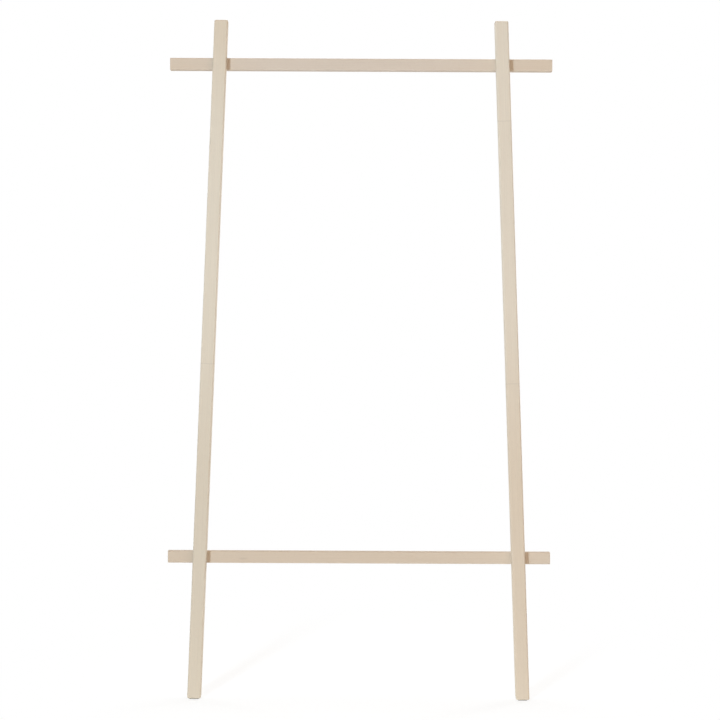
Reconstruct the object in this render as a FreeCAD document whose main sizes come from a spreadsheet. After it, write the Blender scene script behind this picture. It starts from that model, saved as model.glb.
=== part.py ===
import FreeCAD, Part
import Sketcher
import os

# An open frame wardrobe: two splayed uprights and two rails that cross behind them.
# The frame leans back on a wall. Every piece is drawn in the plane of the frame, X across, Y from the
# uprights' front face towards the wall and Z up along the lean, and is then tipped back by the lean.
# The finished part stands on Z = 0, with the wall on its +Y side and X = 0 midway between the uprights.

# Driving sizes, in millimetres and degrees
SIZES = {
    # The frame, measured along its own plane
    "frame_height": 1800,
    "lean_angle": 8,
    "splay_angle": 2.05,
    "top_rail_drop": 114,
    "bottom_rail_level": 376,
    # The uprights
    "upright_width": 36,
    "upright_depth": 36,
    "upright_round": 4,
    # The rails, and how far the bottom one runs past its bolts
    "rail_length": 1016,
    "rail_overhang": 86,
    "rail_height": 32,
    "rail_depth": 32,
    "rail_round": 3,
    "rail_end_easing": 1,
    # The housings that the rails sit in, across the back of the uprights
    "housing_depth": 7,
    "housing_clearance": 0.2,
    # The bolts
    "bolt_diameter": 6,
    "bolt_head_diameter": 10,
    "bolt_head_height": 6,
    "bolt_head_easing": 0.6,
    "bolt_tip_taper": 0.8,
    "bolt_clearance": 0.3,
    "bolt_recess": 0.6,
    "socket_width": 5,
    "socket_depth": 3,
    # The washers under the bolt heads
    "washer_diameter": 12,
    "washer_thickness": 1.6,
    "washer_clearance": 0.2,
    "counterbore_clearance": 0.5,
    # The threaded inserts in the uprights
    "insert_diameter": 10,
    "insert_length": 14,
    "insert_taper": 1,
    "insert_clearance": 0.05,
    "thread_clearance": 0.1,
    "thread_margin": 3,
    "drill_room": 3,
    # The pads under the feet
    "pad_thickness": 2,
    "pad_inset": 1.5,
    "pad_corner": 3,
    # The bumpers between the top rail and the wall
    "bumper_diameter": 14,
    "bumper_skirt": 2,
    "bumper_dome": 4,
    "bumper_inset": 45,
    # How far a cut runs past the piece that it trims
    "overrun": 10,
}

# Places worked out from the driving sizes
LEAN = "Sizes.lean_angle"
SPLAY = "Sizes.splay_angle"
TOP_LEVEL = "(Sizes.frame_height - Sizes.top_rail_drop)"
BOTTOM_LEVEL = "Sizes.bottom_rail_level"
HOUSING_FLOOR = "(Sizes.upright_depth - Sizes.housing_depth)"
RAIL_BACK = f"({HOUSING_FLOOR} + Sizes.rail_depth)"
COUNTERBORE_DEPTH = "(Sizes.bolt_recess + Sizes.bolt_head_height + Sizes.washer_thickness)"
BOLT_SEAT = f"({RAIL_BACK} - {COUNTERBORE_DEPTH})"
THREAD_REACH = "(Sizes.insert_length - Sizes.thread_margin)"
BOLT_LENGTH = f"(Sizes.washer_thickness + Sizes.rail_depth - {COUNTERBORE_DEPTH} + {THREAD_REACH})"
BUMPER_HEIGHT = "(Sizes.bumper_skirt + Sizes.bumper_dome)"
DOME_RADIUS = "((Sizes.bumper_diameter ^ 2 / 4 + Sizes.bumper_dome ^ 2) / (2 * Sizes.bumper_dome))"
UPRIGHT_ACROSS = f"(Sizes.upright_width / cos({SPLAY}))"
FOOT_CUT = f"(Sizes.pad_thickness / cos({LEAN}))"
FOOT_LEVEL = f"({FOOT_CUT} + Sizes.upright_depth / 2 * tan({LEAN}))"

# The depth that the leaning part takes up, from the front of its feet to the wall
FEET_FRONT = (
    f"(Sizes.pad_thickness * tan({LEAN})"
    f" + Sizes.upright_round * (tan({LEAN}) + 1 / cos({LEAN}) - 1))"
)
WALL = (
    f"({TOP_LEVEL} * sin({LEAN})"
    f" + ({RAIL_BACK} + {BUMPER_HEIGHT} - {DOME_RADIUS}) * cos({LEAN}) + {DOME_RADIUS})"
)
SETBACK = f"(({FEET_FRONT} + {WALL}) / 2)"

SIDES = {"left": -1, "right": 1}
LEVELS = {"top": TOP_LEVEL, "bottom": BOTTOM_LEVEL}
HEX_SIDES = 6
ALONG_SHARE = 0.999
ACROSS = FreeCAD.Vector(1, 0, 0)
UPWARD = FreeCAD.Vector(0, 0, 1)

# The points of a sketched line or circle, and the sketch's own origin
START, END, CENTRE = 1, 2, 3
ORIGIN = (-1, START)

doc = FreeCAD.newDocument("open_frame_wardrobe")
sheet = doc.addObject("Spreadsheet::Sheet", "Sizes")
for row, (alias, size) in enumerate(SIZES.items(), start=1):
    sheet.set(f"A{row}", alias)
    sheet.set(f"B{row}", str(size))
    sheet.setAlias(f"B{row}", alias)
doc.recompute()


def value(expression):
    """The number that an expression on the sheet gives."""
    return float(sheet.evalExpression(expression))


def half_spacing(level):
    """From the middle of the frame to an upright's centre line, at a height along the lean."""
    at_bottom_rail = "(Sizes.rail_length / 2 - Sizes.rail_overhang)"
    return f"({at_bottom_rail} + ({BOTTOM_LEVEL} - {level}) * tan({SPLAY}))"


def centre_line(side, level):
    return f"({SIDES[side]} * {half_spacing(level)})"


# Sketches


def add_body(label):
    body = doc.addObject("PartDesign::Body", label)
    body.Label = label
    return body


def add_sketch(body, name, role, lift="0"):
    """A sketch on one of the body's own planes, lifted along the plane's normal."""
    sketch = body.newObject("Sketcher::SketchObject", f"{body.Label}_{name}")
    plane = next(item for item in body.Origin.OriginFeatures if item.Role == role)
    sketch.AttachmentSupport = [(plane, "")]
    sketch.MapMode = "FlatFace"
    sketch.setExpression("AttachmentOffset.Base.z", lift)
    return sketch


def bind(sketch, kind, places, expression):
    """Add a dimension to a sketch and tie it to an expression on the sheet."""
    index = sketch.addConstraint(Sketcher.Constraint(kind, *places, value(expression)))
    sketch.setExpression(f"Constraints[{index}]", expression)


def place_point(sketch, element, point, across, up):
    """Tie a point of a line or circle to its distances from the sketch's origin."""
    bind(sketch, "DistanceX", (*ORIGIN, element, point), across)
    bind(sketch, "DistanceY", (*ORIGIN, element, point), up)


def add_loop(sketch, points):
    """Straight lines through points, joined end to end and closed."""
    ends = points[1:] + points[:1]
    lines = sketch.addGeometry([Part.LineSegment(a, b) for a, b in zip(points, ends)])
    for line, following in zip(lines, lines[1:] + lines[:1]):
        sketch.addConstraint(Sketcher.Constraint("Coincident", line, END, following, START))
    return lines


def add_outline(sketch, corners):
    """A closed outline of straight lines through corners given as pairs of expressions."""
    lines = add_loop(sketch, [FreeCAD.Vector(value(across), value(up), 0) for across, up in corners])
    for line, (across, up) in zip(lines, corners):
        place_point(sketch, line, START, across, up)


def add_rectangle(sketch, left, bottom, width, height):
    """An upright rectangle from its lower left corner, its width and its height."""
    low = FreeCAD.Vector(value(left), value(bottom), 0)
    wide = FreeCAD.Vector(value(width), 0, 0)
    high = FreeCAD.Vector(0, value(height), 0)
    lines = add_loop(sketch, [low, low + wide, low + wide + high, low + high])
    for line, direction in zip(lines, ("Horizontal", "Vertical") * 2):
        sketch.addConstraint(Sketcher.Constraint(direction, line))
    lower, right = lines[:2]
    place_point(sketch, lower, START, left, bottom)
    bind(sketch, "DistanceX", (lower, START, lower, END), width)
    bind(sketch, "DistanceY", (right, START, right, END), height)


def add_circle(sketch, across, up, diameter):
    centre = FreeCAD.Vector(value(across), value(up), 0)
    circle = sketch.addGeometry(Part.Circle(centre, UPWARD, value(diameter) / 2))
    place_point(sketch, circle, CENTRE, across, up)
    bind(sketch, "Diameter", (circle,), diameter)


# Features


def add_feature(body, kind, name, sketch):
    feature = body.newObject(f"PartDesign::{kind}", f"{body.Label}_{name}")
    feature.Profile = sketch
    return feature


def pad(body, name, sketch, length, backward=False, both_ways=False):
    feature = add_feature(body, "Pad", name, sketch)
    feature.setExpression("Length", length)
    feature.Reversed = backward
    if both_ways:
        feature.SideType = "Symmetric"
    doc.recompute()
    return feature


def check_cut(body, feature, volume_before):
    """Recompute, and see that a cut took something away."""
    doc.recompute()
    if not feature.Shape.Volume < volume_before:
        raise RuntimeError(f"{feature.Name} in {body.Label} cuts nothing")


def pocket(body, name, sketch, depth):
    """Cut a sketch on a back face forwards into the piece, to a depth."""
    volume_before = body.Shape.Volume
    feature = add_feature(body, "Pocket", name, sketch)
    feature.setExpression("Length", depth)
    feature.Reversed = True
    check_cut(body, feature, volume_before)


def revolve(body, name, sketch):
    """Turn a profile once round the piece's own Y axis."""
    feature = add_feature(body, "Revolution", name, sketch)
    feature.ReferenceAxis = (sketch, ["V_Axis"])
    doc.recompute()
    return feature


def round_edges(body, name, base, edges, radius):
    feature = body.newObject("PartDesign::Fillet", f"{body.Label}_{name}")
    feature.Base = (base, edges)
    feature.setExpression("Radius", radius)
    doc.recompute()
    return feature


def edge_names(shape, wanted):
    return [f"Edge{n}" for n, edge in enumerate(shape.Edges, start=1) if wanted(edge)]


def runs_along(edge, axis):
    """Whether an edge is a straight run along an axis."""
    return abs(edge.tangentAt(edge.FirstParameter).dot(axis)) > ALONG_SHARE


# Placements


def lean_back(body, across="0", back="0", up="0"):
    """Tip a piece back with the frame and set its origin at a place in the frame's plane."""
    tip = FreeCAD.Rotation(ACROSS, -value(LEAN))
    body.Placement = FreeCAD.Placement(FreeCAD.Vector(0, 0, 0), tip)
    body.setExpression("Placement.Rotation.Angle", f"-{LEAN}")
    body.setExpression("Placement.Base.x", across)
    body.setExpression("Placement.Base.y", f"{up} * sin({LEAN}) + {back} * cos({LEAN}) - {SETBACK}")
    body.setExpression("Placement.Base.z", f"{up} * cos({LEAN}) - {back} * sin({LEAN})")


def set_level(body, across, back, up):
    """Set a piece that stays level at a place measured from the feet and the floor."""
    body.setExpression("Placement.Base.x", across)
    body.setExpression("Placement.Base.y", f"{back} - {SETBACK}")
    body.setExpression("Placement.Base.z", up)


# Wooden pieces


def make_upright(side):
    """A splayed stick, cut level at the foot, rounded all over and housed for both rails."""
    body = add_body(f"{side}_upright")
    sign = SIDES[side]
    front = add_sketch(body, "front", "XZ_Plane")
    half = f"{UPRIGHT_ACROSS} / 2"
    outer = f"({half_spacing('0')} + {half})"
    inner = f"({half_spacing('0')} - {half})"
    drift = f"(Sizes.frame_height * tan({SPLAY}))"
    add_outline(
        front,
        [
            (f"{sign} * {inner}", "0"),
            (f"{sign} * {outer}", "0"),
            (f"{sign} * ({outer} - {drift})", "Sizes.frame_height"),
            (f"{sign} * ({inner} - {drift})", "Sizes.frame_height"),
        ],
    )
    stick = pad(body, "stick", front, "Sizes.upright_depth", backward=True)

    # The level foot: a wedge off the lower end, seen from the side
    foot = add_sketch(body, "foot", "YZ_Plane")
    behind = "(Sizes.upright_depth + Sizes.overrun)"
    add_outline(
        foot,
        [
            ("-Sizes.overrun", "-Sizes.overrun"),
            (behind, "-Sizes.overrun"),
            (behind, f"{FOOT_CUT} + {behind} * tan({LEAN})"),
            ("-Sizes.overrun", f"{FOOT_CUT} - Sizes.overrun * tan({LEAN})"),
        ],
    )
    wedge = add_feature(body, "Pocket", "wedge", foot)
    wedge.Type = "ThroughAll"
    wedge.SideType = "Symmetric"
    check_cut(body, wedge, stick.Shape.Volume)
    every_edge = edge_names(wedge.Shape, lambda edge: True)
    round_edges(body, "rounding", wedge, every_edge, "Sizes.upright_round")

    housings = add_sketch(body, "housings", "XZ_Plane", "-Sizes.upright_depth")
    drillings = add_sketch(body, "drillings", "XZ_Plane", "-Sizes.upright_depth")
    for level in LEVELS.values():
        centre = centre_line(side, level)
        add_rectangle(
            housings,
            f"{centre} - Sizes.upright_width",
            f"{level} - Sizes.rail_height / 2 - Sizes.housing_clearance",
            "2 * Sizes.upright_width",
            "Sizes.rail_height + 2 * Sizes.housing_clearance",
        )
        add_circle(drillings, centre, level, "Sizes.insert_diameter + 2 * Sizes.insert_clearance")
    pocket(body, "housing_cuts", housings, "Sizes.housing_depth")
    drill_depth = "Sizes.housing_depth + Sizes.insert_length + Sizes.drill_room"
    pocket(body, "insert_holes", drillings, drill_depth)
    lean_back(body)
    return body


def make_rail(name, level):
    """A square-ended rail with a counterbored bolt hole from behind at each upright."""
    body = add_body(f"{name}_rail")
    section = add_sketch(body, "section", "YZ_Plane")
    lower = f"{level} - Sizes.rail_height / 2"
    add_rectangle(section, HOUSING_FLOOR, lower, "Sizes.rail_depth", "Sizes.rail_height")
    bar = pad(body, "bar", section, "Sizes.rail_length", both_ways=True)
    long_edges = edge_names(bar.Shape, lambda edge: runs_along(edge, ACROSS))
    rounded = round_edges(body, "rounding", bar, long_edges, "Sizes.rail_round")
    end_edges = edge_names(rounded.Shape, lambda edge: not runs_along(edge, ACROSS))
    eased = round_edges(body, "end_easing", rounded, end_edges, "Sizes.rail_end_easing")

    centres = add_sketch(body, "bolt_centres", "XZ_Plane", f"-{RAIL_BACK}")
    hole_size = "Sizes.bolt_diameter + 2 * Sizes.bolt_clearance"
    for side in SIDES:
        add_circle(centres, centre_line(side, level), level, hole_size)
    doc.recompute()
    hole = add_feature(body, "Hole", "bolt_holes", centres)
    hole.Reversed = True
    hole.DepthType = "ThroughAll"
    hole.HoleCutType = "Counterbore"
    hole.HoleCutCustomValues = True
    hole.setExpression("Diameter", hole_size)
    hole.setExpression("HoleCutDiameter", "Sizes.washer_diameter + 2 * Sizes.counterbore_clearance")
    hole.setExpression("HoleCutDepth", COUNTERBORE_DEPTH)
    check_cut(body, hole, eased.Shape.Volume)
    lean_back(body)
    return body


# Fasteners, each turned about its own Y axis, which points at the wall


def make_bolt(label, across, level):
    """A socket-head bolt. Its origin is under the head, and the shank runs forwards."""
    body = add_body(label)
    profile = add_sketch(body, "profile", "XY_Plane")
    head = "Sizes.bolt_head_diameter / 2"
    shank = "Sizes.bolt_diameter / 2"
    top = "Sizes.bolt_head_height"
    add_outline(
        profile,
        [
            ("0", f"-{BOLT_LENGTH}"),
            (f"{shank} - Sizes.bolt_tip_taper", f"-{BOLT_LENGTH}"),
            (shank, f"Sizes.bolt_tip_taper - {BOLT_LENGTH}"),
            (shank, "0"),
            (head, "0"),
            (head, f"{top} - Sizes.bolt_head_easing"),
            (f"{head} - Sizes.bolt_head_easing", top),
            ("0", top),
        ],
    )
    revolve(body, "turning", profile)
    socket = add_sketch(body, "socket", "XZ_Plane", f"-{top}")
    turn = 360 / HEX_SIDES
    reach = f"Sizes.socket_width / 2 / cos({turn / 2})"
    corners = range(HEX_SIDES)
    add_outline(socket, [(f"{reach} * cos({n * turn})", f"{reach} * sin({n * turn})") for n in corners])
    pocket(body, "socket_cut", socket, "Sizes.socket_depth")
    lean_back(body, across, f"({BOLT_SEAT} + Sizes.washer_thickness)", level)
    return body


def make_washer(label, across, level):
    """A plain washer on the floor of the counterbore. Its origin is on its front face."""
    body = add_body(label)
    ring = add_sketch(body, "ring", "XZ_Plane")
    add_circle(ring, "0", "0", "Sizes.washer_diameter")
    add_circle(ring, "0", "0", "Sizes.bolt_diameter + 2 * Sizes.washer_clearance")
    pad(body, "disc", ring, "Sizes.washer_thickness", backward=True)
    lean_back(body, across, BOLT_SEAT, level)
    return body


def make_insert(label, across, level):
    """A threaded sleeve sunk flush with the floor of the housing. Its origin is at its open end."""
    body = add_body(label)
    profile = add_sketch(body, "profile", "XY_Plane")
    bore = "Sizes.bolt_diameter / 2 + Sizes.thread_clearance"
    outside = "Sizes.insert_diameter / 2"
    add_outline(
        profile,
        [
            (bore, "-Sizes.insert_length"),
            (f"{outside} - Sizes.insert_taper", "-Sizes.insert_length"),
            (outside, "Sizes.insert_taper - Sizes.insert_length"),
            (outside, "0"),
            (bore, "0"),
        ],
    )
    revolve(body, "turning", profile)
    lean_back(body, across, HOUSING_FLOOR, level)
    return body


# Rubber pieces


def make_foot_pad(side):
    """A flat pad under a level-cut foot, inside the foot's rounding."""
    body = add_body(f"{side}_foot_pad")
    outline = add_sketch(body, "outline", "XY_Plane")
    rounding_across = f"Sizes.upright_round / tan((90 - {SPLAY}) / 2)"
    rounding_back = f"Sizes.upright_round / tan((90 - {LEAN}) / 2)"
    width = f"({UPRIGHT_ACROSS} - 2 * ({rounding_across} + Sizes.pad_inset))"
    depth = f"(Sizes.upright_depth / cos({LEAN}) - 2 * ({rounding_back} + Sizes.pad_inset))"
    add_rectangle(outline, f"-{width} / 2", f"-{depth} / 2", width, depth)
    slab = pad(body, "slab", outline, "Sizes.pad_thickness")
    corners = edge_names(slab.Shape, lambda edge: runs_along(edge, UPWARD))
    round_edges(body, "corners", slab, corners, "Sizes.pad_corner")
    middle = f"(Sizes.pad_thickness * tan({LEAN}) + Sizes.upright_depth / 2 / cos({LEAN}))"
    set_level(body, centre_line(side, FOOT_LEVEL), middle, "0")
    return body


def make_wall_bumper(side):
    """A domed stop on the back of the top rail, near its end. Its origin is on the rail."""
    body = add_body(f"{side}_wall_bumper")
    profile = add_sketch(body, "profile", "XY_Plane")
    radius = value("Sizes.bumper_diameter / 2")
    shoulder = FreeCAD.Vector(radius, value("Sizes.bumper_skirt"), 0)
    crown = FreeCAD.Vector(0, value(BUMPER_HEIGHT), 0)
    base = FreeCAD.Vector(radius, 0, 0)
    middle = FreeCAD.Vector(0, value(f"{BUMPER_HEIGHT} - {DOME_RADIUS}"), 0)
    sphere = Part.Circle(middle, UPWARD, value(DOME_RADIUS))
    dome = Part.ArcOfCircle(sphere, sphere.parameter(shoulder), sphere.parameter(crown))
    seat, skirt, cap, axis = profile.addGeometry(
        [
            Part.LineSegment(FreeCAD.Vector(0, 0, 0), base),
            Part.LineSegment(base, shoulder),
            dome,
            Part.LineSegment(crown, FreeCAD.Vector(0, 0, 0)),
        ]
    )
    profile.addConstraint(
        [
            Sketcher.Constraint("Coincident", seat, START, *ORIGIN),
            Sketcher.Constraint("Coincident", seat, END, skirt, START),
            Sketcher.Constraint("Coincident", skirt, END, cap, START),
            Sketcher.Constraint("Coincident", cap, END, axis, START),
            Sketcher.Constraint("Coincident", axis, END, seat, START),
            Sketcher.Constraint("Horizontal", seat),
            Sketcher.Constraint("Vertical", skirt),
            Sketcher.Constraint("Vertical", axis),
            Sketcher.Constraint("PointOnObject", cap, CENTRE, axis),
        ]
    )
    bind(profile, "DistanceX", (seat, START, seat, END), "Sizes.bumper_diameter / 2")
    bind(profile, "DistanceY", (skirt, START, skirt, END), "Sizes.bumper_skirt")
    bind(profile, "DistanceY", (axis, END, axis, START), BUMPER_HEIGHT)
    revolve(body, "turning", profile)
    across = f"({SIDES[side]} * (Sizes.rail_length / 2 - Sizes.bumper_inset))"
    lean_back(body, across, RAIL_BACK, TOP_LEVEL)
    return body


# The whole frame

pieces = [make_upright(side) for side in SIDES]
pieces += [make_rail(name, level) for name, level in LEVELS.items()]
for name, level in LEVELS.items():
    for side in SIDES:
        across = centre_line(side, level)
        pieces.append(make_bolt(f"{name}_{side}_bolt", across, level))
        pieces.append(make_washer(f"{name}_{side}_washer", across, level))
        pieces.append(make_insert(f"{name}_{side}_insert", across, level))
pieces += [make_foot_pad(side) for side in SIDES]
pieces += [make_wall_bumper(side) for side in SIDES]
doc.recompute()

for item in doc.Objects:
    if "Invalid" in item.State or "Error" in item.State:
        raise RuntimeError(f"{item.Name} did not build: {item.State}")
for piece in pieces:
    shape = piece.Shape
    if shape.isNull() or not shape.isValid() or len(shape.Solids) != 1:
        raise RuntimeError(f"{piece.Label} is not one valid solid")

os.makedirs("parts", exist_ok=True)
for piece in pieces:
    piece.Shape.exportStep(f"parts/{piece.Label}.step")
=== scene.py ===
import math

import bmesh
import bpy
from mathutils import Matrix, Vector


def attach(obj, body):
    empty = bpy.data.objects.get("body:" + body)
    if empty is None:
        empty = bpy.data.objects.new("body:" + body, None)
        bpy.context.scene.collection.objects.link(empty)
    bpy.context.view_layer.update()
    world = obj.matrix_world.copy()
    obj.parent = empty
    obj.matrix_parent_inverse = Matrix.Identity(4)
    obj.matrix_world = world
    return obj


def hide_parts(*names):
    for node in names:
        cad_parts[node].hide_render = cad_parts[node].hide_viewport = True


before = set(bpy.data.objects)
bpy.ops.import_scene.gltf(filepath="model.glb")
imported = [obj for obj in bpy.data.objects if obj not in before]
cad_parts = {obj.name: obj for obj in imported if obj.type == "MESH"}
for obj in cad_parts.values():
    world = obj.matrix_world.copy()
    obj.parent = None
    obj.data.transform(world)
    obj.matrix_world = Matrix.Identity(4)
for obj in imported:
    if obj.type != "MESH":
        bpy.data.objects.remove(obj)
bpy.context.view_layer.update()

# A leaning clothes frame of four pale wooden sticks. Lengths are metres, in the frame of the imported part.

# The frame's own directions: across it, up along its lean, and from its front towards the wall
LEAN = math.radians(8)
SPLAY = math.radians(2.05)
ACROSS = Vector((1, 0, 0))
UP = Vector((0, math.sin(LEAN), math.cos(LEAN)))
BACK = Vector((0, math.cos(LEAN), -math.sin(LEAN)))

LEFT_UPRIGHT_RUN = UP * math.cos(SPLAY) + ACROSS * math.sin(SPLAY)
RIGHT_UPRIGHT_RUN = UP * math.cos(SPLAY) - ACROSS * math.sin(SPLAY)


def reach(node, direction):
    """The least and greatest distance of a node along a direction."""
    distances = [vertex.co.dot(direction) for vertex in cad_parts[node].data.vertices]
    return min(distances), max(distances)


def middle(node, direction):
    return sum(reach(node, direction)) / 2


def half_width(node):
    least, greatest = reach(node, ACROSS)
    return (greatest - least) / 2


def display_colour(red, green, blue):
    """A colour given in display levels, 0 to 255, as the linear colour that shaders take."""

    def linear(level):
        share = level / 255
        return share / 12.92 if share <= 0.04045 else ((share + 0.055) / 1.055) ** 2.4

    return (linear(red), linear(green), linear(blue), 1.0)


# Shader nodes

# The sockets of a Mix node that blends colours
MIX_FACTOR, MIX_FIRST, MIX_SECOND, MIX_RESULT = 0, 6, 7, 2

# The mean of a noise texture, which gives 0 to 1
NOISE_MEAN = 0.5


class Wire:
    """A socket of a node tree. Operators on it add Math nodes, and node() adds any other kind."""

    def __init__(self, tree, socket=None):
        self.tree = tree
        self.socket = socket

    def node(self, kind, settings=None, sockets=None, output=0):
        """Add a node by its type, its settings, and its sockets' values or links. Gives an output."""
        made = self.tree.nodes.new(kind)
        for name, setting in (settings or {}).items():
            setattr(made, name, setting)
        for key, value in (sockets or {}).items():
            if isinstance(value, Wire):
                self.tree.links.new(value.socket, made.inputs[key])
            else:
                made.inputs[key].default_value = value
        return Wire(self.tree, made.outputs[output])

    def math(self, operation, *values):
        return self.node("ShaderNodeMath", {"operation": operation}, dict(enumerate(values)))

    def __add__(self, other):
        return self.math("ADD", self, other)

    def __sub__(self, other):
        return self.math("SUBTRACT", self, other)

    def __rsub__(self, other):
        return self.math("SUBTRACT", other, self)

    def __mul__(self, other):
        return self.math("MULTIPLY", self, other)

    def __gt__(self, other):
        return self.math("GREATER_THAN", self, other)

    __radd__ = __add__
    __rmul__ = __mul__

    def __abs__(self):
        return self.math("ABSOLUTE", self)

    def ease(self, start, end):
        """A smooth step, 0 before start and 1 past end."""
        stretch = {"Value": self, "From Min": start, "From Max": end}
        return self.node("ShaderNodeMapRange", {"interpolation_type": "SMOOTHSTEP"}, stretch)

    def vector(self, operation, other=None, output=0):
        """Vector Math on this vector and another."""
        sockets = {0: self} if other is None else {0: self, 1: other}
        return self.node("ShaderNodeVectorMath", {"operation": operation}, sockets, output)

    def length(self):
        return self.vector("LENGTH", output="Value")

    def dot(self, direction):
        return self.vector("DOT_PRODUCT", direction, "Value")

    def times(self, amount):
        """This vector or colour multiplied by an amount."""
        return self.node("ShaderNodeVectorMath", {"operation": "SCALE"}, {0: self, "Scale": amount})

    def share_of(self, vector):
        """A fixed vector multiplied by this."""
        return self.node("ShaderNodeVectorMath", {"operation": "SCALE"}, {0: vector, "Scale": self})

    def mix(self, first, second):
        """A colour between two others, with this as the share of the second."""
        colours = {MIX_FACTOR: self, MIX_FIRST: first, MIX_SECOND: second}
        return self.node("ShaderNodeMix", {"data_type": "RGBA"}, colours, MIX_RESULT)

    def noise(self, cycles, detail=2.0):
        """Noise with so many cycles a metre along each axis of this place."""
        place = self.vector("MULTIPLY", cycles)
        return self.node("ShaderNodeTexNoise", None, {"Vector": place, "Scale": 1.0, "Detail": detail})

    def bump(self, strength, distance):
        """A normal from this height."""
        relief = {"Height": self, "Strength": strength, "Distance": distance}
        return self.node("ShaderNodeBump", None, relief)


def new_finish(name):
    """A material, a wire to start its nodes from, and the sockets of its surface."""
    material = bpy.data.materials.new(name)
    material.use_nodes = True
    surface = material.node_tree.nodes["Principled BSDF"].inputs
    return material, Wire(material.node_tree), surface


def connect(sockets, links):
    for name, wire in links.items():
        wire.tree.links.new(wire.socket, sockets[name])


def dress(node, material):
    """Give a CAD node its finish."""
    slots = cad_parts[node].data.materials
    slots.clear()
    slots.append(material)


# Wood

# Broad drift of tone, wander of the rings, streaks, fibres and flecks, in cycles a metre along a stick,
# across its face and into it
DRIFT_CYCLES = (1.4, 9.0, 9.0)
WANDER_CYCLES = (2.5, 5.0, 5.0)
STREAK_CYCLES = (3.0, 70.0, 70.0)
FIBRE_CYCLES = (9.0, 800.0, 800.0)
FLECK_CYCLES = (110.0, 2300.0, 2300.0)
RINGS_PER_METRE = 420.0
RING_WANDER = 0.006
STREAK_DETAIL = 3.0

# Where in the noise a streak or a fleck starts and is full
STREAK_STEP = (0.52, 0.78)
FLECK_STEP = (0.62, 0.72)

# From a stick's middle to the tree's pith, and how far apart in the log two glued lengths were
PITH = Vector((0.0, 0.065, 0.11))
BOARD_SHIFT = Vector((0.37, 0.043, 0.029))
ACROSS_GRAIN = Vector((0.0, 1.0, 1.0))

# How much each feature changes the wood's brightness, or its tone where it is a streak
DRIFT_SHARE = 0.05
RING_SHARE = 0.08
STREAK_SHARE = 0.05
FIBRE_SHARE = 0.09
FLECK_SHARE = 0.13
GLUE_LINE_SHARE = 0.09
STAIN_SHARE = 0.09
END_GRAIN_SHARE = 0.16

# From where to where along a stick its tone changes, and how far from an end its tone turns warmer and
# darker
TONE_CHANGE = (0.5, 1.15)
END_WARMTH_REACH = (0.0, 0.3)
WARM_TONE = display_colour(205, 184, 154)
GLUE_LINE_WIDTH = 0.005
STAIN_STEP = (0.25, 1.0)
END_GRAIN_STEP = (0.85, 0.98)

WOOD_ROUGHNESS = 0.6
FIBRE_ROUGHNESS = 0.15
END_GRAIN_ROUGHNESS = 0.15
FIBRE_RELIEF, RING_RELIEF = 0.5, 0.3
WOOD_BUMP_STRENGTH = 0.12
WOOD_BUMP_DISTANCE = 0.0004


def pale_wood(node, run, tones, end_warmth=(), glue_lines=(), stain=None):
    """White-oiled, fine-grained wood, sawn along a stick's run.

    tones are its colours towards the stick's lower or left end and towards the other end, and end_warmth is
    how far the tone at each of those ends turns warmer and darker. glue_lines are the distances from the
    lower or left end of the joints between the lengths of stock that the stick is glued up from. stain is
    the place and the reach of a faint dark mark, along the stick, across its face and into it.
    """
    side = BACK.cross(run)
    first_end, last_end = reach(node, run)
    start = run * first_end + side * middle(node, side) + BACK * middle(node, BACK)
    turn = Matrix((run, side, BACK)).transposed().to_euler()
    material, wire, surface = new_finish(f"{node}_wood")

    place = wire.node("ShaderNodeTexCoord", output="Object")
    on_stick = {"Vector": place, "Location": start, "Rotation": turn}
    stick = wire.node("ShaderNodeMapping", {"vector_type": "TEXTURE"}, on_stick)
    along = wire.node("ShaderNodeSeparateXYZ", None, {"Vector": stick})

    # Past each joint the grain is that of another board, and the joint itself is a thin dark line
    grain = stick
    joints = []
    for level in glue_lines:
        grain = grain.vector("ADD", (along > level).share_of(BOARD_SHIFT))
        joints.append(1 - abs(along - level).ease(0.0, GLUE_LINE_WIDTH / 2))

    tone = along.ease(*TONE_CHANGE).mix(*tones)
    # Towards each end the tone turns warmer and darker, by the share given for that end
    for share, from_end in zip(end_warmth, (along, last_end - first_end - along)):
        tone = ((1 - from_end.ease(*END_WARMTH_REACH)) * share).mix(tone, WARM_TONE)
    wander = (grain.noise(WANDER_CYCLES) - NOISE_MEAN) * RING_WANDER
    from_pith = grain.vector("ADD", PITH).vector("MULTIPLY", ACROSS_GRAIN).length()
    growth = {"W": (from_pith + wander) * RINGS_PER_METRE, "Scale": 1.0}
    rings = wire.node("ShaderNodeTexNoise", {"noise_dimensions": "1D"}, growth)
    drift = grain.noise(DRIFT_CYCLES)
    streak = grain.noise(STREAK_CYCLES, STREAK_DETAIL).ease(*STREAK_STEP)
    fibre = grain.noise(FIBRE_CYCLES)
    fleck = grain.noise(FLECK_CYCLES).ease(*FLECK_STEP)
    facing = wire.node("ShaderNodeNewGeometry", output="Normal").dot(run)
    end_grain = abs(facing).ease(*END_GRAIN_STEP)

    brightness = (
        1
        + (drift - NOISE_MEAN) * DRIFT_SHARE
        + (rings - NOISE_MEAN) * RING_SHARE
        + (fibre - NOISE_MEAN) * FIBRE_SHARE
        - fleck * FLECK_SHARE
        - end_grain * END_GRAIN_SHARE
    )
    for joint in joints:
        brightness = brightness - joint * GLUE_LINE_SHARE
    if stain:
        stain_place, stain_reach = stain
        from_stain = stick.vector("SUBTRACT", stain_place).vector("DIVIDE", stain_reach).length()
        brightness = brightness - (1 - from_stain.ease(*STAIN_STEP)) * STAIN_SHARE

    height = fibre * FIBRE_RELIEF + rings * RING_RELIEF - fleck
    roughness = (fibre - NOISE_MEAN) * FIBRE_ROUGHNESS + end_grain * END_GRAIN_ROUGHNESS
    connect(
        surface,
        {
            "Base Color": (streak * STREAK_SHARE).mix(tone, WARM_TONE).times(brightness),
            "Roughness": WOOD_ROUGHNESS + roughness,
            "Normal": height.bump(WOOD_BUMP_STRENGTH, WOOD_BUMP_DISTANCE),
        },
    )
    return material


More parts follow.
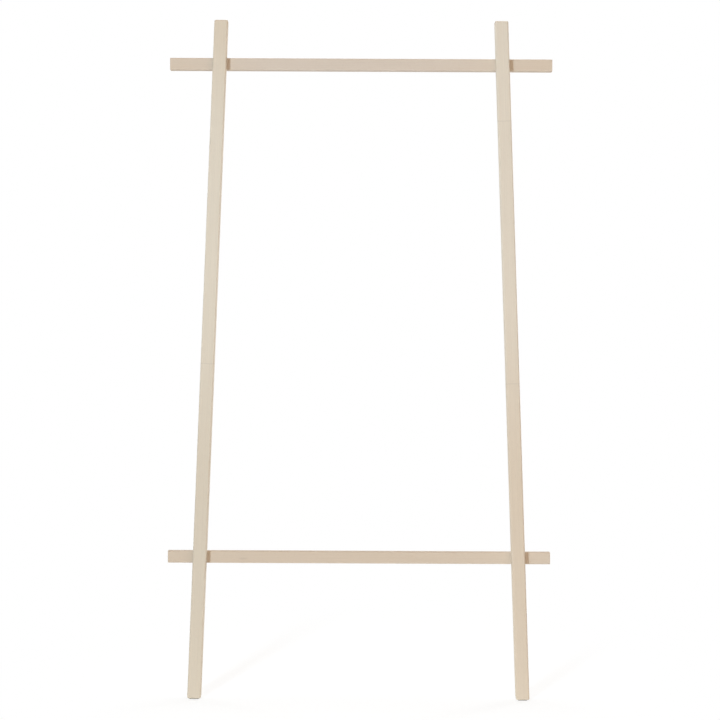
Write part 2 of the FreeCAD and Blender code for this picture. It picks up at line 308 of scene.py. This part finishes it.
LEFT_TONES = (display_colour(207, 198, 180), display_colour(216, 209, 193))
LEFT_END_WARMTH = (0.07, 0.3)
LEFT_GLUE_LINES = (0.888,)
RIGHT_TONES = (display_colour(211, 199, 180), display_colour(218, 211, 196))
RIGHT_GLUE_LINES = (0.838, 1.534)
TOP_RAIL_TONES = (display_colour(208, 197, 183), display_colour(213, 202, 187))
TOP_RAIL_END_WARMTH = (0.28, 0.24)
BOTTOM_RAIL_TONES = (display_colour(203, 189, 170), display_colour(210, 198, 181))
BOTTOM_RAIL_STAIN = (Vector((0.2, 0.004, -0.016)), Vector((0.018, 0.0035, 0.006)))

# Each stick's run, tones, warmer and darker ends, glue lines and stain
STICKS = {
    "left_upright": (LEFT_UPRIGHT_RUN, LEFT_TONES, LEFT_END_WARMTH, LEFT_GLUE_LINES),
    "right_upright": (RIGHT_UPRIGHT_RUN, RIGHT_TONES, (), RIGHT_GLUE_LINES),
    "top_rail": (ACROSS, TOP_RAIL_TONES, TOP_RAIL_END_WARMTH),
    "bottom_rail": (ACROSS, BOTTOM_RAIL_TONES, (), (), BOTTOM_RAIL_STAIN),
}
for node, sawn in STICKS.items():
    dress(node, pale_wood(node, *sawn))


# Metal and rubber

CLOUD_CYCLES = (400.0, 400.0, 400.0)
CLOUD_DETAIL = 4.0
CLOUD_STEP = (0.3, 0.75)
TURNING_CYCLES = (3000.0, 300.0, 3000.0)
CLOUD_ROUGHNESS, TURNING_ROUGHNESS = 0.25, 0.1
TURNING_BUMP_STRENGTH, TURNING_BUMP_DISTANCE = 0.1, 0.0001


def plated_metal(name, colour, dull_colour, roughness):
    """Bright metal with a cloudy plating and fine turning marks."""
    material, wire, surface = new_finish(name)
    place = wire.node("ShaderNodeTexCoord", output="Object")
    cloud = place.noise(CLOUD_CYCLES, CLOUD_DETAIL)
    turning = place.noise(TURNING_CYCLES)
    wear = (cloud - NOISE_MEAN) * CLOUD_ROUGHNESS + (turning - NOISE_MEAN) * TURNING_ROUGHNESS
    surface["Metallic"].default_value = 1.0
    connect(
        surface,
        {
            "Base Color": cloud.ease(*CLOUD_STEP).mix(colour, dull_colour),
            "Roughness": roughness + wear,
            "Normal": turning.bump(TURNING_BUMP_STRENGTH, TURNING_BUMP_DISTANCE),
        },
    )
    return material


SKIN_CYCLES = (1800.0, 1800.0, 1800.0)
SKIN_DETAIL = 3.0
DUST_CYCLES = (160.0, 160.0, 160.0)
DUST_DETAIL = 5.0
DUST_STEP = (0.45, 0.8)
RUBBER_ROUGHNESS, SKIN_ROUGHNESS = 0.78, 0.2
SKIN_BUMP_STRENGTH, SKIN_BUMP_DISTANCE = 0.25, 0.0002


def moulded_rubber(name, colour, dusty_colour):
    """Matt rubber with a fine moulded grain and a little dust."""
    material, wire, surface = new_finish(name)
    place = wire.node("ShaderNodeTexCoord", output="Object")
    skin = place.noise(SKIN_CYCLES, SKIN_DETAIL)
    dust = place.noise(DUST_CYCLES, DUST_DETAIL)
    connect(
        surface,
        {
            "Base Color": dust.ease(*DUST_STEP).mix(colour, dusty_colour),
            "Roughness": RUBBER_ROUGHNESS + (skin - NOISE_MEAN) * SKIN_ROUGHNESS,
            "Normal": skin.bump(SKIN_BUMP_STRENGTH, SKIN_BUMP_DISTANCE),
        },
    )
    return material


# Bright and dull zinc and brass, and clean and dusty rubber
ZINC_COLOURS = (display_colour(212, 214, 217), display_colour(176, 176, 178))
BRASS_COLOURS = (display_colour(224, 199, 140), display_colour(181, 150, 92))
RUBBER_COLOURS = (display_colour(104, 100, 95), display_colour(140, 135, 127))
ZINC_ROUGHNESS, BRASS_ROUGHNESS = 0.32, 0.28

zinc = plated_metal("bright_zinc", *ZINC_COLOURS, ZINC_ROUGHNESS)
brass = plated_metal("turned_brass", *BRASS_COLOURS, BRASS_ROUGHNESS)
rubber = moulded_rubber("grey_rubber", *RUBBER_COLOURS)


# Bolts, inserts and bumpers, turned about lines that run from the frame's front towards the wall

BOLT_SIDES, INSERT_SIDES, BUMPER_SIDES = 60, 36, 48
SHARP_EDGE = math.radians(35)
SAME_POINT = 1e-7

# One pitch of a thread: shares of the pitch, and how deep it is cut there, from 0 on its crest to 1
THREAD_SHAPE = ((0.0, 0), (0.125, 0), (0.4375, 1), (0.6875, 1))
THREAD_PITCH, THREAD_DEPTH = 0.001, 0.0006
THREAD_LENGTH = 0.024
THREAD_CLEARANCE = 0.0001
COARSE_PITCH, COARSE_DEPTH = 0.0025, 0.0008
INSERT_TAPER = 0.001

# Turns before a thread's start, because the shares of the pitch and the angle each add up to one
EARLY_TURNS = 2

HEAD_HEIGHT, HEAD_EASING = 0.006, 0.0006
SOCKET_WIDTH, SOCKET_DEPTH = 0.005, 0.003
MOUTH_RADIUS, MOUTH_DEPTH = 0.003, 0.0003
SHANK_RADIUS, TIP_TAPER = 0.003, 0.0008
KNURL_DEPTH = 0.0002
KNURL_TURN = 2 * math.pi / BOLT_SIDES
HEX_TURN = math.pi / 3

SKIRT_HEIGHT, SKIRT_EASING = 0.002, 0.0004
GATE_RADIUS, GATE_DEPTH = 0.0008, 0.0003
DOME_STEPS = 12


def turned(node, profile, sides, material):
    """A piece in place of a CAD node. profile(angle) gives distances along BACK and radii at an angle."""
    axis = ACROSS * middle(node, ACROSS) + UP * middle(node, UP)
    shape = bmesh.new()
    columns = []
    for step in range(sides + 1):
        angle = 2 * math.pi * step / sides
        outward = ACROSS * math.cos(angle) + UP * math.sin(angle)
        points = [axis + BACK * distance + outward * radius for distance, radius in profile(angle)]
        columns.append([shape.verts.new(point) for point in points])
    for column, after in zip(columns, columns[1:]):
        for corners in zip(column, column[1:], after[1:], after):
            shape.faces.new(corners)
    bmesh.ops.remove_doubles(shape, verts=shape.verts, dist=SAME_POINT)
    bmesh.ops.recalc_face_normals(shape, faces=shape.faces)

    mesh = bpy.data.meshes.new(f"{node}_turned")
    shape.to_mesh(mesh)
    shape.free()
    mesh.shade_smooth()
    mesh.set_sharp_from_angle(angle=SHARP_EDGE)
    mesh.materials.append(material)
    piece = bpy.data.objects.new(f"{node}_turned", mesh)
    bpy.context.scene.collection.objects.link(piece)
    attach(piece, "root")
    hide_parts(node)


def thread(start, end, pitch, angle):
    """Distances down one side of a right-hand thread, from its start, and how deep it is cut at each."""
    first, last = math.floor(-start / pitch) - EARLY_TURNS, math.ceil(-end / pitch)
    for turn in range(first, last + 1):
        for share, cut in THREAD_SHAPE:
            distance = -(turn + share + angle / (2 * math.pi)) * pitch
            yield min(max(distance, end), start), cut


def threaded_bolt(node):
    """A bolt with a knurled head, a six-sided socket, and a thread on the end of its shank."""
    tip, top = reach(node, BACK)
    head = half_width(node)
    seat = top - HEAD_HEIGHT
    thread_start = tip + THREAD_LENGTH

    def profile(angle):
        socket = SOCKET_WIDTH / 2 / math.cos(angle % HEX_TURN - HEX_TURN / 2)
        knurled = head - KNURL_DEPTH * (round(angle / KNURL_TURN) % 2)
        yield top - SOCKET_DEPTH, 0.0
        yield top - SOCKET_DEPTH, socket
        yield top - MOUTH_DEPTH, socket
        yield top, MOUTH_RADIUS
        yield top, head - HEAD_EASING
        yield top - HEAD_EASING, knurled
        yield seat, knurled
        yield seat, SHANK_RADIUS
        for distance, cut in thread(thread_start, tip, THREAD_PITCH, angle):
            run_out = min((thread_start - distance) / THREAD_PITCH, 1)
            tapered = SHANK_RADIUS - TIP_TAPER + distance - tip
            yield distance, min(SHANK_RADIUS - THREAD_DEPTH * cut * run_out, tapered)
        yield tip, 0.0

    turned(node, profile, BOLT_SIDES, zinc)


def threaded_insert(node):
    """A sleeve with a coarse thread outside, for the wood, and the bolt's thread inside."""
    front_end, open_end = reach(node, BACK)
    outside = half_width(node)

    def threaded(radius, depth, pitch, angle):
        for distance, cut in thread(open_end, front_end, pitch, angle):
            run_out = min((open_end - distance) / pitch, (distance - front_end) / pitch, 1)
            yield distance, radius - depth * cut * run_out

    def profile(angle):
        taper = outside - INSERT_TAPER - front_end
        outer = [
            (distance, min(radius, taper + distance))
            for distance, radius in threaded(outside, COARSE_DEPTH, COARSE_PITCH, angle)
        ]
        bore = list(threaded(SHANK_RADIUS + THREAD_CLEARANCE, THREAD_DEPTH, THREAD_PITCH, angle))
        return outer + bore[::-1] + outer[:1]

    turned(node, profile, INSERT_SIDES, brass)


def moulded_bumper(node):
    """A rubber stop with an eased skirt, and a dome with the dimple that its mould's gate left."""
    base, crown = reach(node, BACK)
    edge = half_width(node)
    dome = crown - base - SKIRT_HEIGHT
    curve = (edge**2 + dome**2) / (2 * dome)

    def profile(angle):
        yield base, 0.0
        yield base, edge - SKIRT_EASING
        yield base + SKIRT_EASING, edge
        for step in range(DOME_STEPS + 1):
            radius = edge + (GATE_RADIUS - edge) * step / DOME_STEPS
            yield crown - curve + math.sqrt(curve**2 - radius**2), radius
        yield crown - GATE_DEPTH, 0.0

    turned(node, profile, BUMPER_SIDES, rubber)


TURNED = {"bolt": threaded_bolt, "insert": threaded_insert, "bumper": moulded_bumper}
FINISHES = {"washer": zinc, "pad": rubber}
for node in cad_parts:
    kind = node.rsplit("_", 1)[-1]
    if kind in TURNED:
        TURNED[kind](node)
    elif kind in FINISHES:
        dress(node, FINISHES[kind])


# Stage

# The floor is set forward, so that the line between its two triangles is away from the frame
FLOOR_SIZE, FLOOR_SHIFT = 60.0, -10.0
FLOOR_PAINT = (0.75, 0.75, 0.75, 1.0)

# Near the feet it also glows, so that the shadow stays faint, and its paint evens out the warm light
SHADOW_PAINT = (0.36, 0.39, 0.415, 1.0)
SHADOW_GLOW = 0.7
SHADOW_REACH = (0.3, 1.0)

# The world's light, from in front of the frame and from the white sweep behind it
WHITE = (1.0, 1.0, 1.0, 1.0)
FRONT_FILL = (1.0, 0.63, 0.34, 1.0)
FRONT_STRENGTH = 0.33
SWEEP_STRENGTH = 0.72
SWEEP_REACH = (-0.3, 0.5)


def seen_directly(wire):
    """1 on rays from the camera and in reflections and glass, and 0 on rays that carry light."""
    rays = ("Is Camera Ray", "Is Glossy Ray", "Is Transmission Ray")
    camera, glossy, transmitted = (wire.node("ShaderNodeLightPath", output=ray) for ray in rays)
    return camera + glossy + transmitted


def add_floor():
    """A pale floor that looks white where it is lit, and shows the frame's shadow near the feet."""
    half = FLOOR_SIZE / 2
    nearest, farthest = FLOOR_SHIFT - half, FLOOR_SHIFT + half
    corners = [(-half, nearest, 0), (half, nearest, 0), (half, farthest, 0), (-half, farthest, 0)]
    mesh = bpy.data.meshes.new("floor")
    mesh.from_pydata(corners, [], [(0, 1, 2, 3)])
    floor = bpy.data.objects.new("floor", mesh)
    bpy.context.scene.collection.objects.link(floor)

    material = bpy.data.materials.new("floor_paint")
    material.use_nodes = True
    wire = Wire(material.node_tree)
    paint = wire.node("ShaderNodeBsdfDiffuse", None, {"Color": FLOOR_PAINT})
    shadow_paint = wire.node("ShaderNodeBsdfDiffuse", None, {"Color": SHADOW_PAINT})
    glow = wire.node("ShaderNodeEmission", None, {"Color": WHITE, "Strength": SHADOW_GLOW})
    near = wire.node("ShaderNodeAddShader", None, {0: shadow_paint, 1: glow})
    white = wire.node("ShaderNodeEmission", None, {"Color": WHITE, "Strength": 1.0})
    far = wire.node("ShaderNodeMixShader", None, {0: seen_directly(wire), 1: paint, 2: white})
    distance = wire.node("ShaderNodeNewGeometry", output="Position").length()
    blend = wire.node("ShaderNodeMixShader", None, {0: distance.ease(*SHADOW_REACH), 1: near, 2: far})
    connect(material.node_tree.nodes["Material Output"].inputs, {"Surface": blend})
    mesh.materials.append(material)


def add_world():
    """White where it is seen. It lights the frame softly in front, and more from the white sweep behind."""
    world = bpy.data.worlds.new("studio")
    world.use_nodes = True
    wire = Wire(world.node_tree)
    direction = wire.node("ShaderNodeTexCoord", output="Generated")
    behind = direction.dot(BACK).ease(*SWEEP_REACH)
    strength = FRONT_STRENGTH + behind * (SWEEP_STRENGTH - FRONT_STRENGTH)
    colour = behind.mix(FRONT_FILL, WHITE)
    fill = wire.node("ShaderNodeBackground", None, {"Color": colour, "Strength": strength})
    white = wire.node("ShaderNodeBackground", None, {"Color": WHITE, "Strength": 1.0})
    blend = wire.node("ShaderNodeMixShader", None, {0: seen_directly(wire), 1: fill, 2: white})
    connect(world.node_tree.nodes["World Output"].inputs, {"Surface": blend})
    bpy.context.scene.world = world


# Light and camera

front = reach("left_upright", BACK)[0]
centre = UP * middle("left_upright", UP) + BACK * front

# Each lamp's place from the middle of the frame's front, its width, power and colour
PLAIN_LIGHT = (1.0, 1.0, 1.0)
COOL_LIGHT = (0.82, 1.0, 1.15)
WARM_LIGHT = (1.0, 0.81, 0.67)
LAMPS = {
    "key_light": (UP * 0.46 - ACROSS * 3.1 - BACK * 7.75, 0.96, 313.0, COOL_LIGHT),
    "fill_light": (ACROSS * 0.8 + UP * 0.1 - BACK * 3.2, 2.5, 24.0, WARM_LIGHT),
    "left_light": (UP * 0.5 - ACROSS * 4.2 + BACK * 3.2, 2.0, 40.0, PLAIN_LIGHT),
    "right_light": (UP * 0.5 + ACROSS * 4.2 + BACK * 3.2, 2.0, 90.0, PLAIN_LIGHT),
    "top_light": (UP * 3.2 + BACK * 0.6, 2.0, 30.0, PLAIN_LIGHT),
}

CAMERA_DISTANCE = 7.0
CAMERA_ASIDE, CAMERA_ABOVE = 0.0004, -0.0004
PHOTO_SCALE = 0.0026466
PHOTO_WIDTH = 720
SENSOR_WIDTH = 36.0
ROLL = math.radians(-0.26)


def aim(thing, place, target, up):
    """Put a lamp or the camera at a place, looking at a target."""
    backward = (place - target).normalized()
    right = up.cross(backward).normalized()
    turn = Matrix((right, backward.cross(right), backward)).transposed()
    thing.matrix_world = Matrix.Translation(place) @ turn.to_4x4()


def add_lamp(name, offset, size, power, colour):
    lamp = bpy.data.lights.new(name, "AREA")
    lamp.shape = "DISK"
    lamp.size = size
    lamp.energy = power
    lamp.color = colour
    thing = bpy.data.objects.new(name, lamp)
    thing.visible_camera = False
    bpy.context.scene.collection.objects.link(thing)
    aim(thing, centre + offset, centre, BACK.cross(offset))


def add_camera():
    """The camera square to the frame's plane, with the roll of the photograph."""
    camera = bpy.data.cameras.new("camera")
    camera.sensor_width = SENSOR_WIDTH
    camera.lens = SENSOR_WIDTH * CAMERA_DISTANCE / (PHOTO_SCALE * PHOTO_WIDTH)
    thing = bpy.data.objects.new("camera", camera)
    bpy.context.scene.collection.objects.link(thing)
    target = centre + ACROSS * CAMERA_ASIDE + UP * CAMERA_ABOVE
    up = Matrix.Rotation(ROLL, 3, BACK) @ UP
    aim(thing, target - BACK * CAMERA_DISTANCE, target, up)
    bpy.context.scene.camera = thing


add_floor()
add_world()
for name, setup in LAMPS.items():
    add_lamp(name, *setup)
add_camera()
bpy.context.scene.view_settings.view_transform = "Standard"
